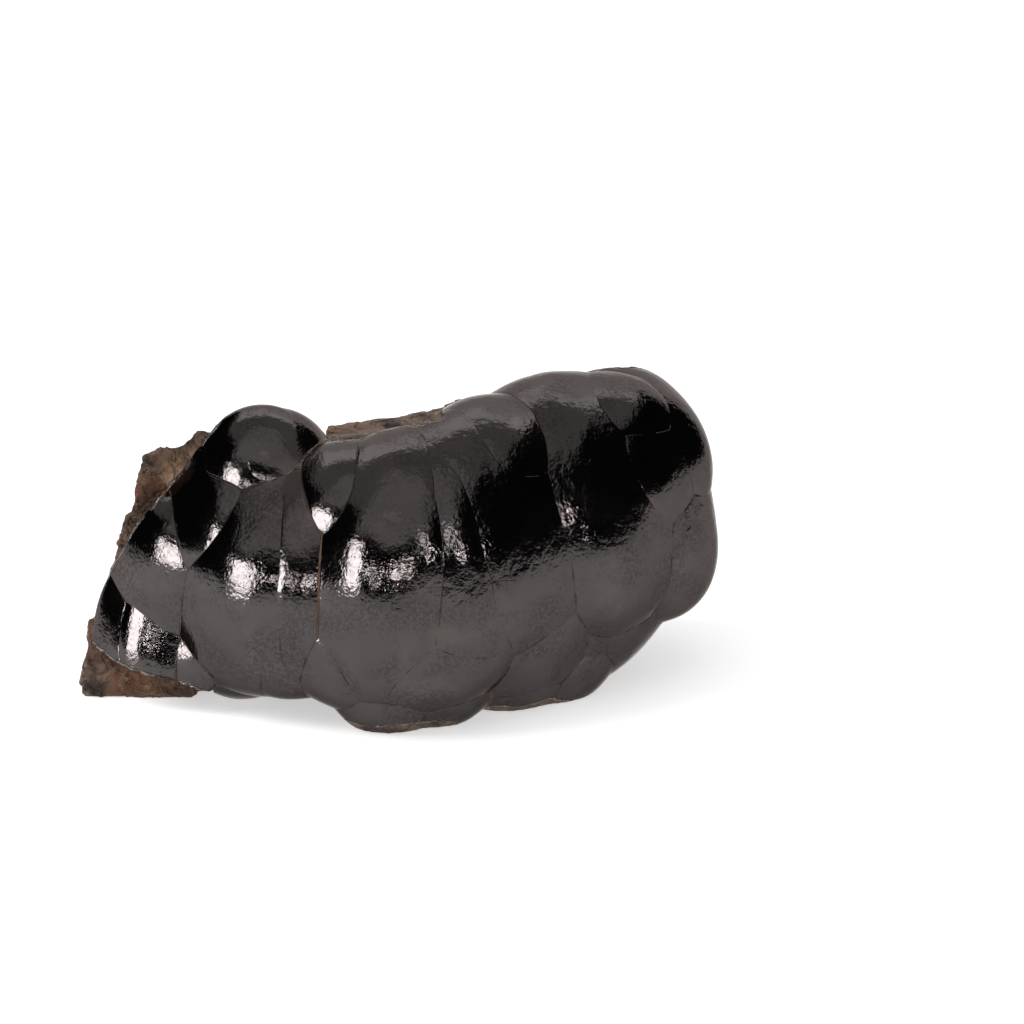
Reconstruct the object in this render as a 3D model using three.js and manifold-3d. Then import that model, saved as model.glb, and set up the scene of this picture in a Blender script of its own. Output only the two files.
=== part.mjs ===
// Botryoidal goethite, cabinet specimen. Millimetres, +Z up.
// The stone stands on its flat broken foot at Z = 0; the lustrous lobes face -Y.
// Lobes of goethite grew outward on brown limonite, so the whole stone is one solid:
// overlapping swellings meet in V-shaped seams, and the rough rock shows where they broke off.
import * as THREE from "three";
import { mergeVertices } from "three/addons/utils/BufferGeometryUtils.js";
import Module from "manifold-3d";

// ---- driving dimensions ----
const FACET = 2.9; // edge length aimed at on the round lobes
const FOOT_Z = 0; // height of the flat broken resting face
const REACH = 140; // larger than the stone, for the cutting blocks
const CENTRE = [0, -4.6, 0]; // brings the middle of the stone's outline in plan to the origin
const CRUST = { color: 0x3a3536, roughness: 0.16, metalness: 0.9 };

// Lobes: crest of each swelling, the way it faces [turn to the right, tilt up] in degrees,
// its radii of curvature [across, up and down], how deep it goes in, and its lean.
const LOBES = [
  { name: "dome", crest: [-19.7, -5.0, 35.6], faces: [-12, 18], round: [12, 14], deep: 5, lean: 0 },
  { name: "dome right", crest: [-12.1, -2.9, 36.7], faces: [44, 22], round: [9, 8], deep: 6, lean: 0 },
  { name: "left brow", crest: [-27.9, 1.6, 35.4], faces: [-54, 27], round: [26, 12], deep: 4.5, lean: 0 },
  { name: "left cheek", crest: [-31.0, -0.8, 28.5], faces: [-64, 24], round: [19, 18], deep: 6.5, lean: 0 },
  { name: "left bulb", crest: [-36.0, -3.2, 19.1], faces: [-41, 4], round: [16, 20], deep: 6, lean: 0 },
  { name: "end bead", crest: [-38.6, -3.0, 10.5], faces: [-26, 18], round: [14, 45], deep: 1.9, lean: 0 },
  { name: "low bead", crest: [-33.6, -5.4, 10.1], faces: [-8, 18], round: [12, 40], deep: 2.2, lean: 0 },
  { name: "small bead", crest: [-29.3, -7.0, 7.4], faces: [-30, 15.5], round: [6, 10], deep: 2, lean: 0 },
  { name: "left barrel", crest: [-21.7, -12.6, 22.7], faces: [-28, 18], round: [15, 24], deep: 12, lean: 14 },
  { name: "stave", crest: [-13.1, -15.0, 23.6], faces: [-8, 17], round: [5.5, 24], deep: 10, lean: 0 },
  { name: "nose", crest: [-2.8, -19.2, 24.2], faces: [-13, 15], round: [12, 28], deep: 11, lean: 6 },
  { name: "right nose", crest: [8.8, -17.0, 24.9], faces: [14, 15], round: [11, 30], deep: 11, lean: 0 },
  { name: "left skirt", crest: [-27.2, -6.5, 9.3], faces: [-40, -4], round: [9, 12], deep: 8, lean: 0 },
  { name: "barrel foot", crest: [-17.2, -13.5, 8.9], faces: [-20, -14], round: [8, 8], deep: 7, lean: 0 },
  { name: "stave foot", crest: [-8.4, -16.8, 8.9], faces: [-14, -16], round: [7, 9], deep: 8, lean: 0 },
  { name: "chin", crest: [4.9, -18.5, 9.8], faces: [8, -12], round: [17, 8], deep: 9, lean: 0 },
  { name: "left lip", crest: [-1.8, -14.6, 0.6], faces: [-5, -40], round: [8, 6], deep: 6, lean: 0 },
  { name: "right lip", crest: [6.7, -12.8, 1.0], faces: [12, -38], round: [8, 6], deep: 6, lean: 0 },
  { name: "chin side", crest: [12.8, -15.9, 15.8], faces: [24, -2], round: [9, 11], deep: 9, lean: 0 },
  { name: "lower flank", crest: [20.8, -10.4, 12.0], faces: [30, -6], round: [13, 16], deep: 10, lean: 0 },
  { name: "rim", crest: [18.7, -7.3, 2.7], faces: [25, -28], round: [10, 7], deep: 7, lean: 0 },
  { name: "rim end", crest: [25.8, -2.8, 1.7], faces: [35, -28], round: [9, 7], deep: 7, lean: 0 },
  { name: "broad lobe", crest: [19.0, -10.8, 29.4], faces: [36, 22], round: [22, 30], deep: 10, lean: 0 },
  { name: "under lobe", crest: [29.3, -2.4, 15.1], faces: [42, 2], round: [14, 20], deep: 11, lean: 0 },
  { name: "shoulder lobe", crest: [33.1, -1.0, 31.7], faces: [48, 26], round: [21, 31], deep: 11, lean: 0 },
  { name: "right shoulder", crest: [36.5, 4.4, 36.0], faces: [50, 40], round: [12, 14], deep: 8, lean: 0 },
  { name: "end lobe", crest: [40.5, 8.0, 30.2], faces: [60, 33], round: [12, 28], deep: 11, lean: 0 },
  { name: "crown", crest: [31.2, 7.0, 42.3], faces: [24, 62], round: [11, 9], deep: 7, lean: 0 },
  { name: "left crown", crest: [20.8, 2.0, 41.9], faces: [8, 60], round: [12, 13], deep: 9, lean: 0 },
  { name: "right crown", crest: [37.7, 11.4, 39.5], faces: [46, 53], round: [10, 18], deep: 9, lean: 0 },
  { name: "top lump 1", crest: [-6.7, -10.2, 35.9], faces: [2, 46], round: [6, 10], deep: 7, lean: 0 },
  { name: "top lump 2", crest: [0.4, -11.5, 37.0], faces: [-5, 50], round: [11, 15], deep: 9, lean: 0 },
  { name: "top lump 3", crest: [7.4, -8.0, 38.9], faces: [0, 53], round: [11, 12], deep: 9, lean: 0 },
  { name: "top lump 4", crest: [13.4, -4.5, 41.1], faces: [5, 56], round: [10, 12], deep: 9, lean: 0 },
  { name: "right heel", crest: [35.4, 3.0, 11.3], faces: [54, -8], round: [15, 16], deep: 12, lean: 0 },
  { name: "far end", crest: [34.3, 14.0, 15.1], faces: [90, 5], round: [20, 18], deep: 14, lean: 0 },
  { name: "far top", crest: [27.2, 16.0, 30.2], faces: [40, 60], round: [16, 16], deep: 10, lean: 0 },
  { name: "left fill", crest: [-13.8, -6.0, 16.4], faces: [-10, 10], round: [14, 14], deep: 14, lean: 0 },
  { name: "nose fill", crest: [0.4, -10.0, 17.8], faces: [0, 10], round: [16, 16], deep: 16, lean: 0 },
  { name: "flank fill", crest: [23.0, 0.0, 20.2], faces: [30, 15], round: [15, 15], deep: 15, lean: 0 },
  { name: "end fill", crest: [32.8, 8.0, 20.3], faces: [45, 12], round: [13, 13], deep: 13, lean: 0 },
  { name: "top fill", crest: [23.0, 2.0, 33.0], faces: [10, 30], round: [12, 12], deep: 12, lean: 0 },
  { name: "bead fill", crest: [-36.4, -2.2, 8.7], faces: [-20, 10], round: [8, 8], deep: 6, lean: 0 },
];

// Blocks stand on the middle of their lower face: foot [x, y, z], size [x, y, z] and
// turn [about Z, tip about X, roll about Y] in degrees.
// Bites break the lobes off and leave the brown rock that is added after them.
const BITES = [
  { name: "saddle", foot: [-0.5, -3.2, 40.9], size: [14.6, 40, 20], turn: [0, -32, -12] },
  { name: "left edge", foot: [-31.8, 0.6, 30.9], size: [60, 60, 30], turn: [65, -57, 0] },
  { name: "bead foot", foot: [-37.4, -4, -3.9], size: [20, 16, 10], turn: [0, 0, 13.6] },
];
const ROCK = [
  { name: "front heart", foot: [2.2, -3.5, -1], size: [12, 14, 8], turn: [0, 0, 0] },
  { name: "heart", foot: [-1, 12, -1], size: [42, 27, 31], turn: [0, 0, 0] },
  { name: "left heart", foot: [-28, 9.5, -1], size: [18, 17, 27], turn: [10, 0, 10] },
  { name: "saddle", foot: [2, 9, 24.0], size: [22, 26, 14.6], turn: [0, 0, -4] },
  { name: "shoulder", foot: [-19.4, 12, 19.8], size: [16, 18, 21.5], turn: [0, 0, -36] },
  { name: "left shoulder", foot: [-21.4, 9.2, 25.6], size: [12.4, 14, 15.5], turn: [0, 0, -36] },
  { name: "flank", foot: [-38.9, 11.4, -1], size: [13, 18, 32], turn: [6, 0, 14] },
  { name: "stub", foot: [-41.3, 5.4, -1], size: [8.6, 9, 11.6], turn: [10, 0, 8] },
  { name: "sill", foot: [-36.5, 3.4, -1], size: [16, 8.6, 6.4], turn: [0, 0, 0] },
];
// Breaks take away rock and lobes alike, and leave the sloping broken back.
const BREAKS = [
  { name: "back slope", foot: [-5, 9.0, 38.5], size: [REACH, 90, 40], turn: [16, -66, 0] },
  { name: "rear", foot: [0, 26, 10], size: [REACH, 90, 40], turn: [4, -88, 0] },
  { name: "left rear", foot: [-34, 14, 8], size: [REACH, 90, 40], turn: [50, -76, 0] },
];
// Chunks of rock that stand proud of the broken back: middle, half sizes and turn.
const CHUNKS = [
  { name: "chunk 1", middle: [-11, 9.6, 29], half: [11, 6, 5.4], turn: [24, -60, 10] },
  { name: "chunk 2", middle: [5, 13.4, 30], half: [10, 7, 5.2], turn: [8, -72, -34] },
  { name: "chunk 3", middle: [18, 15.4, 32], half: [9, 7, 5.4], turn: [22, -56, 44] },
  { name: "chunk 4", middle: [-21, 9.8, 21], half: [8, 9, 5.6], turn: [38, -70, -50] },
  { name: "chunk 5", middle: [-4, 15.2, 19], half: [12, 8, 6.4], turn: [12, -58, -18] },
  { name: "chunk 6", middle: [13, 18.4, 20], half: [10, 8, 6.2], turn: [28, -66, 36] },
  { name: "chunk 7", middle: [26, 19.0, 24], half: [8, 9, 6.2], turn: [10, -74, -10] },
  { name: "chunk 8", middle: [-30, 9.2, 13], half: [9, 9, 6.2], turn: [36, -78, 22] },
  { name: "chunk 9", middle: [-14, 16.2, 8], half: [11, 8, 6.4], turn: [10, -70, 40] },
  { name: "chunk 10", middle: [5, 20.2, 8], half: [12, 8, 6.6], turn: [16, -78, -26] },
  { name: "chunk 11", middle: [21, 20.4, 10], half: [9, 10, 6.4], turn: [-6, -80, 30] },
  { name: "chunk 12", middle: [-35, 9.6, 6], half: [7, 5, 4.6], turn: [20, -60, 15] },
];

const wasm = await Module();
wasm.setup();

/** Turns a closed geometry into a solid that can be joined and cut. */
function solid(geometry) {
  const plain = geometry.index ? geometry.clone() : geometry;
  plain.deleteAttribute("normal");
  plain.deleteAttribute("uv");
  const shell = mergeVertices(plain, 1e-4);
  return new wasm.Manifold(
    new wasm.Mesh({
      numProp: 3,
      vertProperties: new Float32Array(shell.attributes.position.array),
      triVerts: new Uint32Array(shell.index.array),
    }),
  );
}

/** Placing matrix: turned about Z, then tipped about X, then rolled about Y. */
function placing(at, [turn, tip, roll]) {
  const rad = THREE.MathUtils.degToRad;
  const euler = new THREE.Euler(rad(tip), rad(roll), rad(turn), "ZXY");
  return new THREE.Matrix4().makeRotationFromEuler(euler).setPosition(...at);
}

/** One swelling: a ball stretched so that it curves as asked at its crest. */
function lobe({ crest, faces: [turn, tilt], round: [across, upright], deep, lean }) {
  const half = [Math.sqrt(across * deep), deep, Math.sqrt(upright * deep)];
  const mean = Math.cbrt(half[0] * half[1] * half[2]);
  const steps = Math.max(2, Math.round((1.1 * mean) / FACET) - 1);
  const ball = new THREE.IcosahedronGeometry(1, steps).scale(...half);
  ball.translate(0, deep, 0); // the crest comes to the origin, facing -Y
  return solid(ball.applyMatrix4(placing(crest, [turn, -tilt, lean])));
}

/** One block of rock, or one cutting block, standing on its foot. */
function block({ foot, size, turn }) {
  const box = new THREE.BoxGeometry(...size).translate(0, 0, size[2] / 2);
  return solid(box.applyMatrix4(placing(foot, turn)));
}

/** One angular chunk of rock. */
function chunk({ middle, half, turn }) {
  const lump = new THREE.IcosahedronGeometry(1, 0).scale(...half);
  return solid(lump.applyMatrix4(placing(middle, turn)));
}

/** Joins the parts of a list, each made by the same maker. */
const join = (list, make) => list.map(make).reduce((sum, piece) => sum.add(piece));

let stone = join(LOBES, lobe);
stone = stone.subtract(join(BITES, block));
stone = stone.add(join(ROCK, block));
stone = stone.subtract(join(BREAKS, block));
stone = stone.add(join(CHUNKS, chunk));
const ground = { foot: [0, 0, FOOT_Z - 60], size: [REACH, REACH, 60], turn: [0, 0, 0] };
stone = stone.subtract(block(ground));

const { vertProperties, triVerts } = stone.getMesh();
const geometry = new THREE.BufferGeometry();
geometry.setAttribute("position", new THREE.BufferAttribute(vertProperties, 3));
geometry.setIndex(new THREE.BufferAttribute(triVerts, 1));
geometry.translate(...CENTRE);
geometry.computeVertexNormals();

const goethite = new THREE.Mesh(geometry, new THREE.MeshStandardMaterial(CRUST));
goethite.name = "goethite";

const specimen = new THREE.Group();
specimen.add(goethite);

export default specimen;
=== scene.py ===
"""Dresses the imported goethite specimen: lustrous black lobes on brown, rough limonite.

The stone's form is worked out in millimetres, with +Z up and the lobes facing -Y, as one implicit
surface from the same lobes, blocks and breaks as the solid. It is meshed, and scaled to metres.
"""

import logging
import math
from dataclasses import dataclass
from enum import Enum
from functools import partial
from typing import Any, Callable

import bpy
import numpy as np
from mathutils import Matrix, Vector


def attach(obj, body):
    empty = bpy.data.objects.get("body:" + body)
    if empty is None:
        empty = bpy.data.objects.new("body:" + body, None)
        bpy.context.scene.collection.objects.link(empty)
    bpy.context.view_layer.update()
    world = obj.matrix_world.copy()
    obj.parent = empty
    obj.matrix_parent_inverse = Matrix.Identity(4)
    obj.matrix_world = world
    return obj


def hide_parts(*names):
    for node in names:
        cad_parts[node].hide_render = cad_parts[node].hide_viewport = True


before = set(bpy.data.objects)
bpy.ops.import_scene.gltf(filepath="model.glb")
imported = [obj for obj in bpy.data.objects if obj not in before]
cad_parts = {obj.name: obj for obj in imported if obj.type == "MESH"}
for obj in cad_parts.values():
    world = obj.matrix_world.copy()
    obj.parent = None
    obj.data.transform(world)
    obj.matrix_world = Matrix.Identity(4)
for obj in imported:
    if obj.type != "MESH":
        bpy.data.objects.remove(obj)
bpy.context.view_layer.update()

Array = np.ndarray
Triple = tuple[float, float, float]
Colour = tuple[float, float, float, float]
Field = Callable[[Array], Array]  # gives the values at places

MM = 0.001  # metres in a millimetre
CENTRE = np.array((0.0, -4.6, 0.0))  # mm: brings the middle of the stone's plan to the origin
REACH = 140.0  # mm: larger than the stone, for the breaks
log = logging.getLogger("goethite")


# ---- small helpers for places in space ----


def turning(turn: float, tip: float, roll: float) -> Array:
    """Rotation matrix: turned about Z, then tipped about X, then rolled about Y.

    Args:
        turn: degrees about Z.
        tip: degrees about X.
        roll: degrees about Y.

    Returns:
        The 3 by 3 matrix whose columns are the turned axes.
    """
    (cz, cx, cy), (sz, sx, sy) = (f(np.radians((turn, tip, roll))) for f in (np.cos, np.sin))
    about_z = np.array(((cz, -sz, 0), (sz, cz, 0), (0, 0, 1)))
    about_x = np.array(((1, 0, 0), (0, cx, -sx), (0, sx, cx)))
    about_y = np.array(((cy, 0, sy), (0, 1, 0), (-sy, 0, cy)))
    return about_z @ about_x @ about_y


def lengths(vectors: Array) -> Array:
    """Lengths of the vectors along the last axis."""
    return np.sqrt(np.einsum("...i,...i->...", vectors, vectors))


def unit(vectors: Array) -> Array:
    """The vectors scaled to length 1."""
    return vectors / np.maximum(lengths(vectors), 1e-9)[..., None]


class Grain:
    """Seeded smooth noise in space: values on a repeating lattice, blended between its points."""

    SIDE = 32

    def __init__(self, seed: int) -> None:
        """Fills the lattice from the seed."""
        dice = np.random.default_rng(seed)
        self.lattice = dice.uniform(-1.0, 1.0, (self.SIDE,) * 3)

    def smooth(self, points: Array, size: float) -> Array:
        """Noise of one size.

        Args:
            points: places in mm, one per row.
            size: distance between lattice points in mm.

        Returns:
            One value per point, mostly within -1 and 1.
        """
        at = points / size
        cell = np.floor(at)
        part = at - cell
        part = part * part * part * (part * (part * 6 - 15) + 10)
        cell = cell.astype(np.int64)
        near, far = cell % self.SIDE, (cell + 1) % self.SIDE
        total = np.zeros(len(points))
        for x, wx in ((near[:, 0], 1 - part[:, 0]), (far[:, 0], part[:, 0])):
            for y, wy in ((near[:, 1], 1 - part[:, 1]), (far[:, 1], part[:, 1])):
                wxy = wx * wy
                total += wxy * (1 - part[:, 2]) * self.lattice[x, y, near[:, 2]]
                total += wxy * part[:, 2] * self.lattice[x, y, far[:, 2]]
        return total

    def layered(self, points: Array, size: float, layers: int) -> Array:
        """Noise of several sizes, each half as large and half as strong as the one before.

        Args:
            points: places in mm, one per row.
            size: the largest size in mm.
            layers: how many sizes.

        Returns:
            One value per point.
        """
        total = np.zeros(len(points))
        for layer in range(layers):
            total += self.smooth(points + 7.7 * layer, size / 2**layer) / 2**layer
        return total


# ---- the forms that the stone is made of ----


@dataclass(frozen=True)
class Lobe:
    """One swelling of the crust.

    Its crest is a point in mm. It faces [turn to the right, tilt up] in degrees, is rounded with
    the radii of curvature [across, up and down], goes deep mm in, and leans in degrees.
    """

    name: str
    crest: Triple
    faces: tuple[float, float]
    round: tuple[float, float]
    deep: float
    lean: float = 0.0

    @property
    def axes(self) -> Array:
        """Its own axes as columns. Its crest faces along the second one, reversed."""
        return turning(self.faces[0], -self.faces[1], self.lean)

    @property
    def middle(self) -> Array:
        """Its middle in mm."""
        return np.array(self.crest) + self.axes[:, 1] * self.deep

    @property
    def half(self) -> Array:
        """Its half sizes in mm."""
        across, upright = (math.sqrt(radius * self.deep) for radius in self.round)
        return np.array((across, self.deep, upright))

    def distance(self, points: Array) -> Array:
        """Distance from its surface.

        Args:
            points: places in mm, one per row.

        Returns:
            One distance in mm per point, negative inside.
        """
        scaled = (points - self.middle) @ self.axes / self.half
        radius = lengths(scaled)
        return radius * (radius - 1) / np.maximum(lengths(scaled / self.half), 1e-6)


@dataclass(frozen=True)
class Block:
    """A box that stands on the middle of its lower face, in mm, turned in degrees."""

    name: str
    foot: Triple
    size: Triple
    turn: Triple

    def distance(self, points: Array, rounded: float = 0.0) -> Array:
        """Distance from its surface.

        Args:
            points: places in mm, one per row.
            rounded: radius of its edges in mm.

        Returns:
            One distance in mm per point, negative inside.
        """
        axes = turning(*self.turn)
        middle = np.array(self.foot) + axes[:, 2] * self.size[2] / 2
        past = np.abs((points - middle) @ axes) - np.array(self.size) / 2 + rounded
        return lengths(np.maximum(past, 0)) + np.minimum(past.max(axis=1), 0) - rounded


@dataclass(frozen=True)
class Chunk:
    """A twenty-sided lump of rock: its middle and half sizes in mm, turned in degrees."""

    name: str
    middle: Triple
    half: Triple
    turn: Triple

    FLAT = 0.795  # distance of the faces from the middle, for corners at distance 1

    @staticmethod
    def facings() -> Array:
        """The directions of the faces.

        Returns:
            Ten directions, one per row; the other ten are opposite.
        """
        wide, thin = (1 + math.sqrt(5)) / 2, 2 / (1 + math.sqrt(5))
        corners = [(x, y, 1.0) for x in (-1, 1) for y in (-1, 1)]
        rims = [(0, wide, s * thin) for s in (-1, 1)]
        rims += [(s * thin, 0, wide) for s in (-1, 1)]
        rims += [(wide, s * thin, 0) for s in (-1, 1)]
        return unit(np.array(corners + rims))

    def distance(self, points: Array) -> Array:
        """Distance from its surface.

        Args:
            points: places in mm, one per row.

        Returns:
            One distance in mm per point, negative inside.
        """
        half = np.array(self.half)
        scaled = (points - np.array(self.middle)) @ turning(*self.turn) / half
        return (np.abs(scaled @ self.facings().T).max(axis=1) - self.FLAT) * half.mean()


LOBES = (
    Lobe("dome", (-19.7, -5.0, 35.6), (-12, 18), (12, 14), 5),
    Lobe("dome right", (-12.1, -2.9, 36.7), (44, 22), (9, 8), 6),
    Lobe("left brow", (-27.9, 1.6, 35.4), (-54, 27), (26, 12), 4.5),
    Lobe("left cheek", (-31.0, -0.8, 28.5), (-64, 24), (19, 18), 6.5),
    Lobe("left bulb", (-36.0, -3.2, 19.1), (-41, 4), (16, 20), 6),
    Lobe("end bead", (-38.6, -3.0, 10.5), (-26, 18), (14, 45), 1.9),
    Lobe("low bead", (-33.6, -5.4, 10.1), (-8, 18), (12, 40), 2.2),
    Lobe("small bead", (-29.3, -7.0, 7.4), (-30, 15.5), (6, 10), 2),
    Lobe("left barrel", (-21.7, -12.6, 22.7), (-28, 18), (15, 24), 12, 14),
    Lobe("stave", (-13.1, -15.0, 23.6), (-8, 17), (5.5, 24), 10),
    Lobe("nose", (-2.8, -19.2, 24.2), (-13, 15), (12, 28), 11, 6),
    Lobe("right nose", (8.8, -17.0, 24.9), (14, 15), (11, 30), 11),
    Lobe("left skirt", (-27.2, -6.5, 9.3), (-40, -4), (9, 12), 8),
    Lobe("barrel foot", (-17.2, -13.5, 8.9), (-20, -14), (8, 8), 7),
    Lobe("stave foot", (-8.4, -16.8, 8.9), (-14, -16), (7, 9), 8),
    Lobe("chin", (4.9, -18.5, 9.8), (8, -12), (17, 8), 9),
    Lobe("left lip", (-1.8, -14.6, 0.6), (-5, -40), (8, 6), 6),
    Lobe("right lip", (6.7, -12.8, 1.0), (12, -38), (8, 6), 6),
    Lobe("chin side", (12.8, -15.9, 15.8), (24, -2), (9, 11), 9),
    Lobe("lower flank", (20.8, -10.4, 12.0), (30, -6), (13, 16), 10),
    Lobe("rim", (18.7, -7.3, 2.7), (25, -28), (10, 7), 7),
    Lobe("rim end", (25.8, -2.8, 1.7), (35, -28), (9, 7), 7),
    Lobe("broad lobe", (19.0, -10.8, 29.4), (36, 22), (22, 30), 10),
    Lobe("under lobe", (29.3, -2.4, 15.1), (42, 2), (14, 20), 11),
    Lobe("shoulder lobe", (33.1, -1.0, 31.7), (48, 26), (21, 31), 11),
    Lobe("right shoulder", (36.5, 4.4, 36.0), (50, 40), (12, 14), 8),
    Lobe("end lobe", (40.5, 8.0, 30.2), (60, 33), (12, 28), 11),
    Lobe("crown", (31.2, 7.0, 42.3), (24, 62), (11, 9), 7),
    Lobe("left crown", (20.8, 2.0, 41.9), (8, 60), (12, 13), 9),
    Lobe("right crown", (37.7, 11.4, 39.5), (46, 53), (10, 18), 9),
    Lobe("top lump 1", (-6.7, -10.2, 35.9), (2, 46), (6, 10), 7),
    Lobe("top lump 2", (0.4, -11.5, 37.0), (-5, 50), (11, 15), 9),
    Lobe("top lump 3", (7.4, -8.0, 38.9), (0, 53), (11, 12), 9),
    Lobe("top lump 4", (13.4, -4.5, 41.1), (5, 56), (10, 12), 9),
    Lobe("right heel", (35.4, 3.0, 11.3), (54, -8), (15, 16), 12),
    Lobe("far end", (34.3, 14.0, 15.1), (90, 5), (20, 18), 14),
    Lobe("far top", (27.2, 16.0, 30.2), (40, 60), (16, 16), 10),
    Lobe("left fill", (-13.8, -6.0, 16.4), (-10, 10), (14, 14), 14),
    Lobe("nose fill", (0.4, -10.0, 17.8), (0, 10), (16, 16), 16),
    Lobe("flank fill", (23.0, 0.0, 20.2), (30, 15), (15, 15), 15),
    Lobe("end fill", (32.8, 8.0, 20.3), (45, 12), (13, 13), 13),
    Lobe("top fill", (23.0, 2.0, 33.0), (10, 30), (12, 12), 12),
    Lobe("bead fill", (-36.4, -2.2, 8.7), (-20, 10), (8, 8), 6),
)
BITES = (
    Block("saddle", (-0.5, -3.2, 40.9), (14.6, 40, 20), (0, -32, -12)),
    Block("left edge", (-31.8, 0.6, 30.9), (60, 60, 30), (65, -57, 0)),
    Block("bead foot", (-37.4, -4, -3.9), (20, 16, 10), (0, 0, 13.6)),
)
ROCK = (
    Block("front heart", (2.2, -3.5, -1), (12, 14, 8), (0, 0, 0)),
    Block("heart", (-1, 12, -1), (42, 27, 31), (0, 0, 0)),
    Block("left heart", (-28, 9.5, -1), (18, 17, 27), (10, 0, 10)),
    Block("saddle", (2, 9, 24.0), (22, 26, 14.6), (0, 0, -4)),
    Block("shoulder", (-19.4, 12, 19.8), (16, 18, 21.5), (0, 0, -36)),
    Block("left shoulder", (-21.4, 9.2, 25.6), (12.4, 14, 15.5), (0, 0, -36)),
    Block("flank", (-38.9, 11.4, -1), (13, 18, 32), (6, 0, 14)),
    Block("stub", (-41.3, 5.4, -1), (8.6, 9, 11.6), (10, 0, 8)),
    Block("sill", (-36.5, 3.4, -1), (16, 8.6, 6.4), (0, 0, 0)),
)
BREAKS = (
    Block("back slope", (-5, 9.0, 38.5), (REACH, 90, 40), (16, -66, 0)),
    Block("rear", (0, 26, 10), (REACH, 90, 40), (4, -88, 0)),
    Block("left rear", (-34, 14, 8), (REACH, 90, 40), (50, -76, 0)),
)
CHUNKS = (
    Chunk("chunk 1", (-11, 9.6, 29), (11, 6, 5.4), (24, -60, 10)),
    Chunk("chunk 2", (5, 13.4, 30), (10, 7, 5.2), (8, -72, -34)),
    Chunk("chunk 3", (18, 15.4, 32), (9, 7, 5.4), (22, -56, 44)),
    Chunk("chunk 4", (-21, 9.8, 21), (8, 9, 5.6), (38, -70, -50)),
    Chunk("chunk 5", (-4, 15.2, 19), (12, 8, 6.4), (12, -58, -18)),
    Chunk("chunk 6", (13, 18.4, 20), (10, 8, 6.2), (28, -66, 36)),
    Chunk("chunk 7", (26, 19.0, 24), (8, 9, 6.2), (10, -74, -10)),
    Chunk("chunk 8", (-30, 9.2, 13), (9, 9, 6.2), (36, -78, 22)),
    Chunk("chunk 9", (-14, 16.2, 8), (11, 8, 6.4), (10, -70, 40)),
    Chunk("chunk 10", (5, 20.2, 8), (12, 8, 6.6), (16, -78, -26)),
    Chunk("chunk 11", (21, 20.4, 10), (9, 10, 6.4), (-6, -80, 30)),
    Chunk("chunk 12", (-35, 9.6, 6), (7, 5, 4.6), (20, -60, 15)),
)

BROKEN = -1  # owner of a place that no lobe shows at


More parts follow.
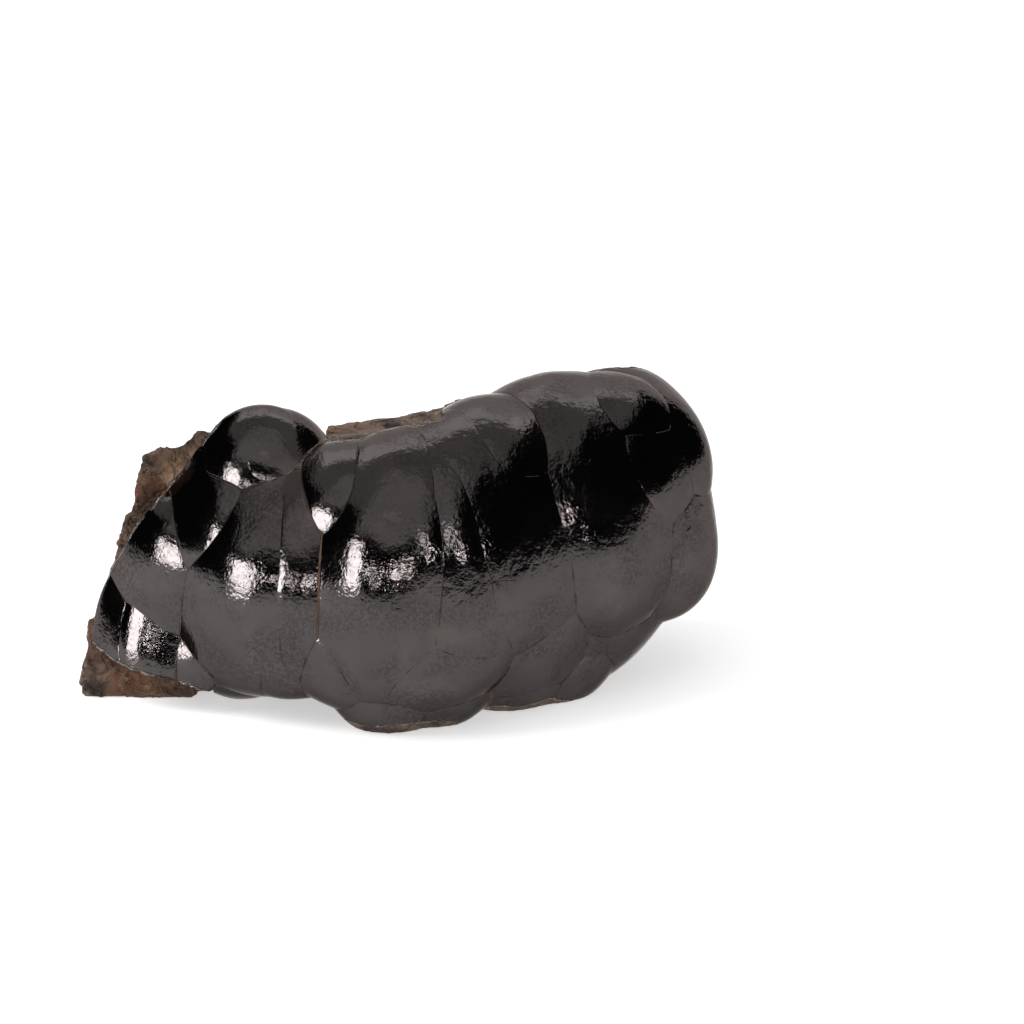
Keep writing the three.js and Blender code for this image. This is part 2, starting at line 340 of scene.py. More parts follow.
@dataclass
class Form:
    """The stone's surface as a field: negative inside, about the distance in mm near the surface."""

    relief: float = 0.45  # how much of the sharp seam between two lobes stays
    softness: float = 1.5  # mm: how far lobes melt into each other
    stray: float = 0.09  # mm: how much each lobe rises and sinks by itself, so that seams wander
    stray_size: float = 4.5  # mm
    swell: float = 0.07  # mm: unevenness of the lobes
    swell_size: float = 7.0  # mm
    ripple: float = 0.014  # mm: finer unevenness
    ripple_size: float = 2.3  # mm
    chipped: float = 0.9  # mm: height of the crust's worn rim at the foot
    rough: float = 0.65  # mm: roughness of what is broken
    rough_size: float = 5.0  # mm
    ridge: float = 0.35  # how high its ridges are, as a share of rough
    ridge_size: float = 3.1  # mm
    rounded: float = 1.0  # mm: worn edges of the rock

    SEED = 11
    PATTERNS = 5  # of stray heights, which the lobes take in turn
    APART = 40.0  # mm between the places that two patterns are taken from
    BATCH = 60000  # points worked on at a time

    def __post_init__(self) -> None:
        """Prepares the noise."""
        self.grain = Grain(self.SEED)

    def strays(self, points: Array) -> list[Array]:
        """How high each pattern lifts the lobes over their plain shape, in mm."""
        starts = [points + self.APART * k for k in range(self.PATTERNS)]
        return [self.stray * self.grain.smooth(start, self.stray_size) for start in starts]

    def lobes(self, points: Array) -> Array:
        """Distances from each lobe in mm, one row per lobe."""
        strays = self.strays(points) * len(LOBES)
        return np.stack([lobe.distance(points) - stray for lobe, stray in zip(LOBES, strays)])

    def crust(self, points: Array, near: Array, lowest: Array | None = None) -> Array:
        """The field of the lobes alone.

        Args:
            points: places in mm, one per row.
            near: distances from the lobes there.
            lowest: the distance that the seams follow; the nearest lobe's if it isn't given.

        Returns:
            One value in mm per point.
        """
        least = near.min(axis=0)
        melt = self.softness * np.log(np.exp((least - near) / self.softness).sum(axis=0))
        sharp = least if lowest is None else lowest
        uneven = self.swell * self.grain.smooth(points, self.swell_size)
        uneven += self.ripple * self.grain.smooth(points, self.ripple_size)
        return self.relief * sharp + (1 - self.relief) * (least - melt) - uneven

    def chosen(self, points: Array, owners: Array) -> Array:
        """Distance of each point from the lobe that is given for it.

        Args:
            points: places in mm, one per row.
            owners: the number of a lobe for each point.

        Returns:
            One distance in mm per point.
        """
        distance = np.zeros(len(points))
        for number, lobe in enumerate(LOBES):
            which = owners == number
            distance[which] = lobe.distance(points[which])
        return distance - np.choose(owners % self.PATTERNS, self.strays(points))

    def seams(self, points: Array) -> tuple[Array, Array]:
        """The seam between the two nearest lobes.

        Args:
            points: places on the surface in mm, one per row.

        Returns:
            How far along the surface the seam is, in mm, and how sharply the two lobes meet there,
            from 0 where one goes on as the other to 1 at 60 degrees.
        """
        order = self.lobes(points).argsort(axis=0)[:2]
        gap = self.chosen(points, order[1]) - self.chosen(points, order[0])
        first, second = (unit(self.slope(points, partial(self.chosen, owners=n))) for n in order)
        across = second - first
        out = unit(first + second)
        across -= np.einsum("ij,ij->i", across, out)[:, None] * out
        sharp = lengths(across)
        return gap / np.maximum(sharp, 0.05), sharp

    def roughness(self, points: Array) -> Array:
        """How far the broken surfaces stand proud.

        Args:
            points: places in mm, one per row.

        Returns:
            One height in mm per point.
        """
        broad = self.grain.layered(points, self.rough_size, 4)
        ridges = 0.5 - np.abs(self.grain.layered(points + 50.0, self.ridge_size, 3))
        return self.rough * broad + self.ridge * self.rough * ridges

    def broken(self, points: Array) -> tuple[Array, Array, Array, Array]:
        """Distances from what is broken.

        Args:
            points: places in mm, one per row.

        Returns:
            The distances in mm from what broke off the crust, from the rock, from what broke off
            at the back, and from the chunks there.
        """
        proud = self.roughness(points)
        bites = np.min([block.distance(points) for block in BITES], axis=0)
        rock = np.min([block.distance(points, self.rounded) for block in ROCK], axis=0)
        breaks = np.min([block.distance(points) for block in BREAKS], axis=0)
        chunks = np.min([chunk.distance(points) for chunk in CHUNKS], axis=0)
        return bites + 0.6 * proud, rock - proud, breaks + proud, chunks - 0.8 * proud

    def batches(self, points: Array, work: Field) -> Array:
        """Runs work over the points in batches and joins what it returns."""
        starts = range(0, len(points), self.BATCH)
        return np.concatenate([work(points[start : start + self.BATCH]) for start in starts])

    def stone(self, points: Array) -> Array:
        """The field of the whole stone.

        Args:
            points: places in mm, one per row.

        Returns:
            One value in mm per point.
        """
        bites, rock, breaks, chunks = self.broken(points)
        stone = np.maximum(self.crust(points, self.lobes(points)), -bites)
        stone = np.maximum(np.minimum(stone, rock), -breaks)
        return np.maximum(np.minimum(stone, chunks), -points[:, 2])

    def value(self, points: Array) -> Array:
        """The field of the whole stone, worked out in batches."""
        return self.batches(points, self.stone)

    def intact(self, points: Array) -> Array:
        """How far the crust is from where it is broken or buried, in mm, negative past that."""
        rim = points[:, 2] - self.chipped + 2 * self.roughness(points)
        return np.minimum(np.min(self.broken(points), axis=0), rim)

    def margin(self, points: Array) -> Array:
        """How far the crust is from where it is broken or buried, worked out in batches."""
        return self.batches(points, self.intact)

    def owner(self, points: Array) -> Array:
        """The lobe that shows at each point, or BROKEN."""
        lobe = self.batches(points, lambda some: self.lobes(some).argmin(axis=0))
        return np.where(self.margin(points) > 0, lobe, BROKEN)

    def side(self, points: Array, owners: Array) -> Array:
        """The field of one given side at each point: that lobe's, or where the crust ends.

        Args:
            points: places in mm, one per row.
            owners: the number of a lobe for each point, or BROKEN.

        Returns:
            One value in mm per point.
        """
        near = self.lobes(points)
        lowest = near[np.maximum(owners, 0), np.arange(len(points))]
        crust = self.crust(points, near, lowest)
        return np.where(owners == BROKEN, self.margin(points), crust)

    @staticmethod
    def slope(points: Array, field: Field, step: float = 0.04) -> Array:
        """Gradient of a field.

        Args:
            points: places in mm, one per row.
            field: gives the value at such places.
            step: half the distance it is measured over, in mm.

        Returns:
            One vector per point.
        """
        corners = np.array(((1, -1, -1), (-1, -1, 1), (-1, 1, -1), (1, 1, 1)), float)
        return sum(field(points + step * c)[:, None] * c for c in corners) / (4 * step)


# ---- the mesh of the stone ----


def edges_of(faces: Array) -> tuple[Array, Array]:
    """The edges of triangles.

    Args:
        faces: three vertex numbers per row.

    Returns:
        The edges, two vertex numbers per row, lower first; and the edge number of each side of
        each triangle, the first side being the one from its first vertex to its second.
    """
    sides = np.stack([faces[:, (0, 1)], faces[:, (1, 2)], faces[:, (2, 0)]], axis=1)
    sides = np.sort(sides, axis=2).reshape(-1, 2)
    span = int(faces.max()) + 1
    keys, which = np.unique(sides[:, 0] * span + sides[:, 1], return_inverse=True)
    return np.stack((keys // span, keys % span), axis=1), which.reshape(-1, 3)


@dataclass
class Skin:
    """Makes the triangle mesh of a form, with its vertices set on the seams between the lobes."""

    form: Form
    pitch: float  # mm between the places where the form is sampled
    low: Triple = (-48.0, -23.0, -1.4)  # mm: a box that holds the stone
    high: Triple = (48.0, 32.0, 47.0)
    snap: float = 0.22  # share of an edge within which a vertex moves instead of the edge parting

    EACH = 4  # fine steps in a coarse one
    BAND = 1.3  # how near the surface is, in coarse steps, where the fine grid is sampled
    STRIDE = 0.5  # the longest move of a vertex onto the surface, in fine steps
    SEAM_STRIDE = 0.3  # mm: the longest move of a vertex of a seam
    LEAST_STEEP = 0.2  # the least squared slope that a move is worked out from
    HALVINGS = 6  # of an edge that a seam crosses, to find where

    def build(self) -> None:
        """Makes points, faces and the owner of each face."""
        self.sample()
        for _ in range(2):
            self.even_out(0.5)
            self.settle(1)
        self.settle(2)
        self.part_at_seams()

    def sample(self) -> None:
        """Wraps the sampled form in four-sided faces, one vertex per crossed cell, and halves them."""
        value = self.survey()
        cells = np.array(value.shape) - 1
        spots, places, quads = [], [], []
        for axis in range(3):
            step = np.eye(3, dtype=int)[axis]
            first = np.delete(value, -1, axis=axis)
            second = np.delete(value, 0, axis=axis)
            at = np.argwhere((first < 0) != (second < 0))
            here, there = first[tuple(at.T)], second[tuple(at.T)]
            crossing = at + (here / (here - there))[:, None] * step
            side, other = np.roll(step, 1), np.roll(step, 2)
            round_it = [at - i * side - j * other for i, j in ((0, 0), (1, 0), (1, 1), (0, 1))]
            ring = np.stack([np.ravel_multi_index(cell.T, cells) for cell in round_it], axis=1)
            ring[here > 0] = ring[here > 0][:, ::-1]
            spots.append(ring.reshape(-1))
            places.append(np.repeat(crossing, 4, axis=0))
            quads.append(ring)
        spot, place, quad = (np.concatenate(parts) for parts in (spots, places, quads))
        used, which = np.unique(spot, return_inverse=True)
        count = np.bincount(which)
        mean = np.stack([np.bincount(which, place[:, k]) / count for k in range(3)], axis=1)
        self.points = np.array(self.low) + mean * self.pitch
        quad = np.searchsorted(used, quad)
        corner = self.points[quad]
        short = lengths(corner[:, 0] - corner[:, 2]) < lengths(corner[:, 1] - corner[:, 3])
        even, odd = quad[short], quad[~short]
        halves = [even[:, (0, 1, 2)], even[:, (0, 2, 3)], odd[:, (0, 1, 3)], odd[:, (1, 2, 3)]]
        self.faces = np.concatenate(halves)

    def survey(self) -> Array:
        """Samples the form on a grid.

        A coarse grid is sampled first, and the fine one only where the surface may be.

        Returns:
            The form's value at each place of the grid. Away from the surface only its sign counts.
        """
        coarse = self.pitch * self.EACH
        axes = [np.arange(lo, hi, coarse) for lo, hi in zip(self.low, self.high)]
        corners = np.stack(np.meshgrid(*axes, indexing="ij"), axis=-1)
        rough = self.form.value(corners.reshape(-1, 3)).reshape(corners.shape[:3])
        close = np.abs(rough)
        for axis in range(3):
            last = close.take([-1], axis=axis)
            close = np.minimum(close, np.concatenate((np.delete(close, 0, axis=axis), last), axis))
        value = rough.repeat(self.EACH, 0).repeat(self.EACH, 1).repeat(self.EACH, 2)
        inner = np.stack(np.meshgrid(*[range(self.EACH)] * 3, indexing="ij"), axis=-1).reshape(-1, 3)
        at = (np.argwhere(close < self.BAND * coarse)[:, None] * self.EACH + inner).reshape(-1, 3)
        value[tuple(at.T)] = self.form.value(np.array(self.low) + at * self.pitch)
        return value

    def even_out(self, share: float) -> None:
        """Moves each vertex towards the middle of its neighbours.

        Args:
            share: how much of the way it moves.
        """
        edges = edges_of(self.faces)[0]
        ends = np.concatenate((edges, edges[:, ::-1]))
        size = len(self.points)
        count = np.bincount(ends[:, 0], minlength=size)
        for_axis = [np.bincount(ends[:, 0], self.points[ends[:, 1], k], size) for k in range(3)]
        self.points += share * (np.stack(for_axis, axis=1) / count[:, None] - self.points)

    def pulled(self, points: Array, field: Field, most: float) -> Array:
        """Moves points one step towards where a field is 0.

        Args:
            points: places in mm, one per row.
            field: the field.
            most: longest move in mm.

        Returns:
            The moved points.
        """
        value, slope = field(points), self.form.slope(points, field)
        steep = np.maximum(np.einsum("ij,ij->i", slope, slope), self.LEAST_STEEP)
        return points - np.clip(value / steep, -most, most)[:, None] * slope

    def settle(self, rounds: int) -> None:
        """Moves the vertices onto the form's surface.

        Args:
            rounds: how many steps each takes.
        """
        for _ in range(rounds):
            self.points = self.pulled(self.points, self.form.value, self.STRIDE * self.pitch)
        self.points[:, 2] = np.maximum(self.points[:, 2], 0)

    def part_at_seams(self) -> None:
        """Parts the triangles where the owner changes, so that the seams run along edges."""
        owner = self.form.owner(self.points)
        edges, sides = edges_of(self.faces)
        first, second = edges.T
        crossed = np.flatnonzero(owner[first] != owner[second])
        start, end = self.points[first[crossed]], self.points[second[crossed]]
        near, far = np.zeros(len(crossed)), np.ones(len(crossed))
        for _ in range(self.HALVINGS):
            half = (near + far) / 2
            same = self.form.owner(start + half[:, None] * (end - start)) == owner[first[crossed]]
            near, far = np.where(same, half, near), np.where(same, far, half)
        share = (near + far) / 2
        place = start + share[:, None] * (end - start)
        pair = np.stack((owner[first[crossed]], owner[second[crossed]]), axis=1)

        seam_of = np.full((len(self.points), 2), BROKEN - 1)  # the owners on both sides
        for moved, close in ((first, share < self.snap), (second, share > 1 - self.snap)):
            which = moved[crossed[close]]
            self.points[which] = place[close]
            seam_of[which] = pair[close]
        cut = (share >= self.snap) & (share <= 1 - self.snap)
        new = np.full(len(edges), -1)
        new[crossed[cut]] = len(self.points) + np.arange(cut.sum())
        self.points = np.concatenate((self.points, place[cut]))
        seam_of = np.concatenate((seam_of, pair[cut]))
        self.faces = self.split(self.faces, new[sides])
        self.name_faces(np.concatenate((owner, np.full(cut.sum(), BROKEN))), seam_of)
        self.settle_seams(seam_of)

    @staticmethod
    def split(faces: Array, middles: Array) -> Array:
        """Splits triangles at new vertices on their sides.

        Args:
            faces: three vertex numbers per row.
            middles: the new vertex on each side, or -1 where there is none.

        Returns:
            The faces that stay and the parts of those that are split.
        """
        done = [faces[(middles < 0).all(axis=1)]]
        for turn in range(3):
            order = [(turn + k) % 3 for k in range(3)]
            (a, b, c), (ab, bc, ca) = faces[:, order].T, middles[:, order].T
            one = (ab >= 0) & (bc < 0) & (ca < 0)
            done += [np.stack(part, axis=1)[one] for part in ((a, ab, c), (ab, b, c))]
            two = (ab >= 0) & (bc < 0) & (ca >= 0)
            done += [np.stack(part, axis=1)[two] for part in ((a, ab, ca), (ab, b, c), (ab, c, ca))]
        (a, b, c), (ab, bc, ca) = faces.T, middles.T
        three = (middles >= 0).all(axis=1)
        parts = ((a, ab, ca), (ab, b, bc), (ca, bc, c), (ab, bc, ca))
        done += [np.stack(part, axis=1)[three] for part in parts]
        return np.concatenate(done)

    def name_faces(self, owner: Array, seam_of: Array) -> None:
        """Gives each face its owner: its plain vertices' one, or else the one at its middle.

        Args:
            owner: the owner of each vertex.
            seam_of: the owners on both sides of each vertex of a seam.
        """
        plain = seam_of[self.faces][:, :, 0] < BROKEN
        names = owner[self.faces]
        highest = np.where(plain, names, BROKEN - 1).max(axis=1)
        lowest = np.where(plain, names, len(LOBES)).min(axis=1)
        middle = self.form.owner(self.points[self.faces].mean(axis=1))
        self.owners = np.where(highest == lowest, highest, middle)

    def settle_seams(self, seam_of: Array) -> None:
        """Moves the vertices of the seams onto both surfaces that meet there.

        Args:
            seam_of: the owners on both sides of each vertex of a seam.
        """
        which = np.flatnonzero(seam_of[:, 0] >= BROKEN)
        start = at = self.points[which]
        for _ in range(3):
            for owners in seam_of[which].T:
                side = partial(self.form.side, owners=owners)
                at = self.pulled(at, side, self.SEAM_STRIDE)
        far = lengths(at - start)
        reach = np.minimum(1, self.STRIDE * self.pitch / np.maximum(far, 1e-9))
        self.points[which] = start + reach[:, None] * (at - start)
        self.points[:, 2] = np.maximum(self.points[:, 2], 0)


# ---- shader maths ----


class Wire:
    """A node's output that shader maths is written with. On values, each operator adds a Math node."""

    def __init__(self, tree: "Tree", socket: bpy.types.NodeSocket) -> None:
        """Wraps the socket."""
        self.tree = tree
        self.socket = socket

    def __add__(self, other: Any) -> "Wire":
        """self + other"""
        return self.tree.maths("ADD", self, other)

    def __sub__(self, other: Any) -> "Wire":
        """self - other"""
        return self.tree.maths("SUBTRACT", self, other)

    def __rsub__(self, other: Any) -> "Wire":
        """other - self"""
        return self.tree.maths("SUBTRACT", other, self)

    def __mul__(self, other: Any) -> "Wire":
        """self * other"""
        return self.tree.maths("MULTIPLY", self, other)

    def __truediv__(self, other: Any) -> "Wire":
        """self / other"""
        return self.tree.maths("DIVIDE", self, other)

    def __rtruediv__(self, other: Any) -> "Wire":
        """other / self"""
        return self.tree.maths("DIVIDE", other, self)

    __radd__ = __add__
    __rmul__ = __mul__


class Tree:
    """Adds nodes to the node tree of a material or the world."""

    def __init__(self, owner: bpy.types.Material | bpy.types.World) -> None:
        """Empties the owner's node tree.

        Args:
            owner: the material or world.
        """
        owner.use_nodes = True
        self.tree = owner.node_tree
        self.tree.nodes.clear()

    def node(
        self,
        kind: str,
        settings: dict[str, Any] | None = None,
        sockets: dict[str | int, Any] | None = None,
        output: str | int = 0,
    ) -> Wire:
        """Adds any node.

        Args:
            kind: its type, without the leading ShaderNode.
            settings: its own settings, set first.
            sockets: values or wires of its input sockets, by name or number.
            output: which output to return.

        Returns:
            The wire from that output, or from none where the node has no output.
        """
        made = self.tree.nodes.new("ShaderNode" + kind)
        for name, value in (settings or {}).items():
            setattr(made, name, value)
        for name, value in (sockets or {}).items():
            if isinstance(value, Wire):
                self.tree.links.new(value.socket, made.inputs[name])
            else:
                made.inputs[name].default_value = value
        return Wire(self, made.outputs[output] if made.outputs else None)

    def maths(self, operation: str, *values: Any) -> Wire:
        """A Math node with that operation on the values."""
        return self.node("Math", {"operation": operation}, dict(enumerate(values)))

    def mix(self, share: Any, first: Any, second: Any) -> Wire:
        """Colour that goes from first to second as share goes from 0 to 1."""
        sockets = {0: share, 6: first, 7: second}
        return self.node("Mix", {"data_type": "RGBA"}, sockets, output=2)

    def step(self, value: Any, low: float, high: float) -> Wire:
        """Smooth step: 0 where value is at low or before, 1 where it is at high or past."""
        settings = {"interpolation_type": "SMOOTHSTEP"}
        return self.node("MapRange", settings, {0: value, 1: low, 2: high, 3: 0.0, 4: 1.0})

    def band(self, value: Wire, span: tuple[float, float], soft: float) -> Wire:
        """1 where value lies within the span, fading to 0 over the soft part at each end."""
        inside = self.step(value, span[0], span[0] + soft)
        return inside * (1 - self.step(value, span[1] - soft, span[1]))

    def dot(self, vector: Wire, other: Triple) -> Wire:
        """Dot product of a vector and a fixed one."""
        settings = {"operation": "DOT_PRODUCT"}
        return self.node("VectorMath", settings, {0: vector, 1: other}, output="Value")

    def scaled(self, vector: Wire, factors: Triple) -> Wire:
        """The vector times the factors, one for each axis."""
        return self.node("VectorMath", {"operation": "MULTIPLY"}, {0: vector, 1: factors})

    def noise(self, at: Wire, size: float, detail: float = 2.0, warp: float = 0.0) -> Wire:
        """Noise from 0 to 1.

        Args:
            at: place in mm.
            size: its largest features in mm.
            detail: how many finer layers it has.
            warp: how far it is distorted.

        Returns:
            The noise's value.
        """
        sockets = {"Vector": at, "Scale": 1 / size, "Detail": detail, "Distortion": warp}
        return self.node("TexNoise", {}, sockets)

    def stored(self, name: str, output: str = "Fac") -> Wire:
        """What the mesh stores under that name."""
        settings = {"attribute_type": "GEOMETRY", "attribute_name": name}
        return self.node("Attribute", settings, output=output)


def paint(colour: Triple) -> Colour:
    """A colour given on the 0 to 255 screen scale, as linear values with alpha."""
    shares = [value / 255 for value in colour]
    return (*(v / 12.92 if v <= 0.04045 else ((v + 0.055) / 1.055) ** 2.4 for v in shares), 1.0)


class Stored(str, Enum):
    """What the stone's mesh stores for its finish."""

    CRUST = "crust"  # 1 on the lobes, 0 on what is broken
    SEAM = "seam"  # mm from the seam to the next lobe
    SHARP = "sharp"  # how sharply two lobes meet at that seam
    HOLLOW = "hollow"  # 0 on open ground, towards 1 in a valley
    DEPTH = "depth"  # mm below the lobes' surface
    EDGE = "edge"  # mm from where the crust ends
    FIBRE = "fibre"  # direction in which the crust grew


@dataclass(frozen=True)
class StoneFinish:
    """The finish of the stone: polished black goethite, and brown limonite where it is broken.

    Colours are on the 0 to 255 screen scale, and heights of relief are in mm.
    """

    name: str = "goethite"
    crust: Triple = (75, 71, 71)
    deep: Triple = (58, 54, 54)
    haze: Triple = (83, 77, 75)
    grime: Triple = (98, 78, 64)
    seam: Triple = (46, 38, 34)
    valley: Triple = (112, 86, 66)
    rim: Triple = (150, 143, 136)
    section: Triple = (58, 44, 36)
    section_pale: Triple = (104, 86, 72)
    brown: Triple = (101, 82, 70)
    dark: Triple = (50, 41, 36)
    rust: Triple = (108, 74, 57)
    ochre: Triple = (138, 112, 86)
    pale: Triple = (136, 121, 106)
    polish: float = 0.09  # roughness of the clean crust
    dulled: float = 0.07  # how much rougher it is where it is hazy, and again in a seam
    earthy: float = 0.72  # roughness of rock and dirt
    earthy_varies: float = 0.2
    peel: float = 0.026  # finest unevenness of the crust
    dimples: float = 0.04  # broader unevenness of the crust
    brushing: float = 0.012  # upright streaks
    groove: float = 0.02  # depth of the hairline in a seam
    crumbs: float = 1.1  # unevenness of the rock
    ledges: float = 0.35  # height of the rock's fine ledges

    def make(self) -> bpy.types.Material:
        """Builds the material.

        Returns:
            The material.
        """
        material = bpy.data.materials.new(self.name)
        tree = Tree(material)
        at = tree.scaled(tree.node("TexCoord", output="Object"), (1 / MM,) * 3)
        crust = tree.stored(Stored.CRUST.value)
        edge = tree.stored(Stored.EDGE.value)
        sharp = tree.stored(Stored.SHARP.value)
        spots = tree.noise(at, 1.6, 4.0)
        clouds = tree.noise(at, 9.0, 3.0, 0.4)
        cracks = tree.maths("ABSOLUTE", tree.noise(at, 4.5, 6.0, 0.8) - 0.5)

        # where the crust is clean, where dirt lies on it, and its bright broken rim
        hollow = tree.stored(Stored.HOLLOW.value) + (spots - 0.5) * 0.5 + (clouds - 0.5) * 0.5
        seam = tree.stored(Stored.SEAM.value) + (spots - 0.5) * 0.3
        reach = 0.06 + 0.4 * tree.step(sharp, 0.85, 1.5) * tree.step(clouds, 0.35, 0.7)
        valley = (1 - tree.step(seam / reach, 0.5, 1.3)) * tree.step(sharp, 0.75, 0.95)
        dirt = tree.maths("MAXIMUM", tree.step(hollow, 0.38, 0.5), valley)
        chips = 1 - tree.step(edge + (spots - 0.5) * 2.4, 0.0, 0.3)
        rim = (1 - tree.step(edge + (spots - 0.5) * 0.8, 0.3, 0.5)) * tree.step(clouds, 0.4, 0.55)
        soiled = tree.maths("MAXIMUM", dirt, chips)
        clean = crust * (1 - tree.maths("MAXIMUM", soiled, rim))

        # the hairline in each seam, wider where the lobes meet sharply
        uneven = tree.step(tree.noise(at, 3.0, 3.0), 0.42, 0.62)
        width = 0.04 + 0.16 * tree.step(sharp, 0.15, 0.8)
        line = (1 - tree.step(seam / width, 0.3, 1.5)) * tree.step(sharp, 0.1, 0.4) * uneven

        # colours
        grain = tree.noise(at, 0.45, 2.0)
        hazy = tree.step(clouds, 0.45, 0.75)
        lustre = tree.mix(hazy, self.colour("crust"), self.colour("haze"))
        shade = tree.step(grain, 0.3, 0.7) * tree.step(tree.noise(at, 6.0, 3.0, 0.5), 0.35, 0.65)
        lustre = tree.mix(shade * 0.8, lustre, self.colour("deep"))
        lustre = tree.mix(line * 0.75, lustre, self.colour("seam"))
        muck = tree.mix(tree.noise(at, 2.2, 3.0), self.colour("dark"), self.colour("grime"))
        muck = tree.mix(valley * 0.7, muck, self.colour("valley"))
        base = tree.mix(rim, lustre, self.colour("rim"))
        base = tree.mix(soiled, base, muck)
        base = tree.mix(crust, self.broken(tree, at, spots, cracks), base)

        # gloss
        gloss = self.polish + self.dulled * tree.step(clouds, 0.4, 0.8) + self.dulled * line
        rough = self.earthy - self.earthy_varies * tree.noise(at, 3.0, 2.0)
        roughness = clean * gloss + (1 - clean) * rough

        # fine relief, stronger towards the stone's high end
        far = tree.step(tree.node("SeparateXYZ", {}, {0: at}, output=0), -4.0, 10.0)
        fine = self.peel * grain + tree.noise(at, 1.0, 2.0) * (self.peel + 0.022 * far)
        fine = fine + tree.noise(at, 2.8, 5.0, 0.3) * (self.dimples + 0.1 * far)
        fine = fine + self.brushing * tree.noise(tree.scaled(at, (1.0, 1.0, 0.2)), 0.6, 2.0)
        coarse = self.crumbs * tree.noise(at, 1.5, 6.0) + self.ledges * tree.step(cracks, 0.0, 0.05)
        relief = clean * (fine - self.groove * line) + (1 - clean) * coarse
        bump = tree.node("Bump", {}, {"Strength": 1.0, "Distance": MM, "Height": relief})

        sockets = {"Base Color": base, "Metallic": clean, "Roughness": roughness, "Normal": bump}
        sockets |= {"Specular IOR Level": 0.25, "Specular Tint": (0.55, 0.53, 0.52, 1.0)}
        shader = tree.node("BsdfPrincipled", {}, sockets)
        tree.node("OutputMaterial", {}, {"Surface": shader})
        return material

    def colour(self, name: str) -> Colour:
        """One of its colours, linear."""
        return paint(getattr(self, name))

    def broken(self, tree: Tree, at: Wire, spots: Wire, cracks: Wire) -> Wire:
        """Colour of what is broken: fibres of goethite near the crust, then brown rock.

        Args:
            tree: where the nodes go.
            at: place in mm.
            spots: fine noise.
            cracks: 0 along winding lines, more beside them.

        Returns:
            The colour.
        """
        rock = tree.step(tree.noise(at, 2.6, 7.0), 0.36, 0.54)
        rock = tree.mix(rock, self.colour("dark"), self.colour("brown"))
        flow = tree.noise(tree.scaled(at, (1.0, 1.3, 0.8)), 7.0, 6.0, 0.3)
        stains = (
            (tree.step(tree.noise(at, 8.0, 5.0, 0.6), 0.56, 0.66) * 0.7, "rust"),
            (tree.step(flow, 0.58, 0.68) * 0.6, "ochre"),
            (tree.step(spots, 0.58, 0.7) * 0.6, "pale"),
            ((1 - tree.step(cracks, 0.0, 0.02)) * 0.4, "dark"),
        )
        for share, name in stains:
            rock = tree.mix(share, rock, self.colour(name))
        fibre = tree.scaled(tree.stored(Stored.FIBRE.value, "Vector"), (26.0,) * 3)
        strands = tree.step(tree.noise(fibre, 1.0, 3.0), 0.35, 0.7)
        section = tree.mix(strands, self.colour("section"), self.colour("section_pale"))
        depth = tree.stored(Stored.DEPTH.value)
        inner = tree.step(depth + (spots - 0.5) * 2.4, 0.3, 0.9) * (1 - tree.step(depth, 4.0, 6.5))
        return tree.mix(inner * 0.8, rock, section)


@dataclass(frozen=True)
class FloorFinish:
    """The finish of the pale floor."""

    name: str = "pale floor"
    tone: float = 0.86
    glow: float = 0.52  # it is lit from below as well

    def make(self) -> bpy.types.Material:
        """Builds the material.

        Returns:
            The material.
        """
        material = bpy.data.materials.new(self.name)
        tree = Tree(material)
        sockets = {"Base Color": (self.tone,) * 3 + (1.0,), "Roughness": 0.9, "Specular IOR Level": 0.0}
        sockets |= {"Emission Color": (1.0,) * 4, "Emission Strength": self.glow}
        shader = tree.node("BsdfPrincipled", {}, sockets)
        tree.node("OutputMaterial", {}, {"Surface": shader})
        return material


# ---- the pieces of the scene ----


